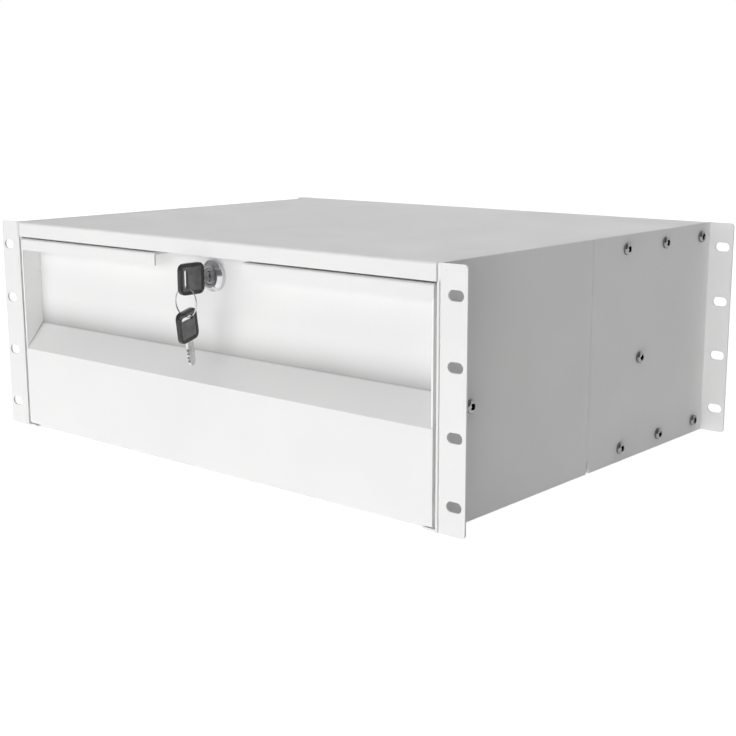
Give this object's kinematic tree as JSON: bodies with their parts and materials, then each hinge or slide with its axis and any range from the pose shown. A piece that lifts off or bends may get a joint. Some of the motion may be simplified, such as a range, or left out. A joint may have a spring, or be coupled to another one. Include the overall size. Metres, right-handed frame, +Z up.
{
  "type": "sliding rack drawer",
  "caption": "Lockable sheet-metal drawer on telescopic ball slides, in a case with flanges for a 19-inch rack, with its keys on a ring.",
  "frame": {"origin": "centre of the front slot pattern, on the front face of the front flanges", "axes": "+X to the right seen from the front, +Y into the case, +Z up"},
  "size_m": [0.4826, 0.3795, 0.172],
  "materials": {
    "light_paint": "fine-grained light grey powder coat",
    "zinc_steel": "bright zinc plate",
    "black_screw": "black zinc, slightly glossy",
    "bright_metal": "satin chrome",
    "key_steel": "nickel-plated, milled",
    "key_plastic": "black moulded plastic",
    "stop_rubber": "matt",
    "ball_steel": "polished"
  },
  "bodies": {
    "case": {"case_shell": "light_paint", "base_pan": "light_paint", "rear_panel": "light_paint", "lock_strike": "light_paint", "strike_rivets": "zinc_steel", "right_front_bracket": "light_paint", "right_rear_bracket": "light_paint", "right_bracket_screws": "black_screw", "right_bracket_nuts": "zinc_steel", "right_outer_rail": "zinc_steel", "right_rail_stop": "stop_rubber", "right_front_slide_screw": "black_screw", "right_rear_slide_screw": "black_screw", "left_front_bracket": "light_paint", "left_rear_bracket": "light_paint", "left_bracket_screws": "black_screw", "left_bracket_nuts": "zinc_steel", "left_outer_rail": "zinc_steel", "left_rail_stop": "stop_rubber", "left_front_slide_screw": "black_screw", "left_rear_slide_screw": "black_screw"},
    "drawer": {"drawer_front": "light_paint", "drawer_tray": "light_paint", "tray_front_wall": "light_paint", "tray_rear_wall": "light_paint", "lock_body": "bright_metal", "lock_nut": "zinc_steel", "right_recess_cheek": "light_paint", "right_end_plate": "light_paint", "right_inner_rail": "zinc_steel", "right_tray_screws": "zinc_steel", "left_recess_cheek": "light_paint", "left_end_plate": "light_paint", "left_inner_rail": "zinc_steel", "left_tray_screws": "zinc_steel"},
    "middle_rails": {"right_middle_rail": "zinc_steel", "left_middle_rail": "zinc_steel"},
    "outer_cages": {"right_outer_cage": "zinc_steel", "left_outer_cage": "zinc_steel", "right_outer_balls": "ball_steel", "left_outer_balls": "ball_steel"},
    "inner_cages": {"right_inner_cage": "zinc_steel", "left_inner_cage": "zinc_steel", "right_inner_balls": "ball_steel", "left_inner_balls": "ball_steel"},
    "plug": {"lock_plug": "bright_metal", "lock_cam": "zinc_steel", "cam_screw": "zinc_steel"},
    "key": {"key_bow": "key_plastic", "key_blade": "key_steel"},
    "ring": {"key_ring": "bright_metal"},
    "spare_key": {"spare_key_bow": "key_plastic", "spare_key_blade": "key_steel"}
  },
  "joints": [
    {"name": "drawer_slide", "type": "slide", "parent": "case", "child": "drawer", "axis": [0, -1, 0], "range_m": [0, 0.3]},
    {"name": "middle_rail_slide", "type": "slide", "parent": "case", "child": "middle_rails", "axis": [0, -1, 0], "range_m": [0, 0.15]},
    {"name": "outer_cage_slide", "type": "slide", "parent": "case", "child": "outer_cages", "axis": [0, -1, 0], "range_m": [0, 0.075]},
    {"name": "inner_cage_slide", "type": "slide", "parent": "case", "child": "inner_cages", "axis": [0, -1, 0], "range_m": [0, 0.225]},
    {"name": "lock_turn", "type": "hinge", "parent": "drawer", "child": "plug", "pos_m": [0, 0.011, 0.058], "axis": [0, 1, 0], "range_deg": [0, 90]},
    {"name": "key_pull", "type": "slide", "parent": "plug", "child": "key", "axis": [0, -1, 0], "range_m": [0, 0.03]},
    {"name": "ring_hang", "type": "hinge", "parent": "key", "child": "ring", "pos_m": [0, -0.0115, 0.04895], "axis": [0, 1, 0], "range_deg": [-90, 0]},
    {"name": "spare_key_swing", "type": "hinge", "parent": "ring", "child": "spare_key", "pos_m": [0, -0.0115, 0.03075], "axis": [1, 0, 0], "range_deg": [-25, 15]}
  ],
  "couplings": [
    {"joint": "middle_rail_slide", "follows": "drawer_slide", "ratio": 0.5},
    {"joint": "outer_cage_slide", "follows": "drawer_slide", "ratio": 0.25},
    {"joint": "inner_cage_slide", "follows": "drawer_slide", "ratio": 0.75},
    {"joint": "ring_hang", "follows": "lock_turn", "ratio": -1}
  ]
}
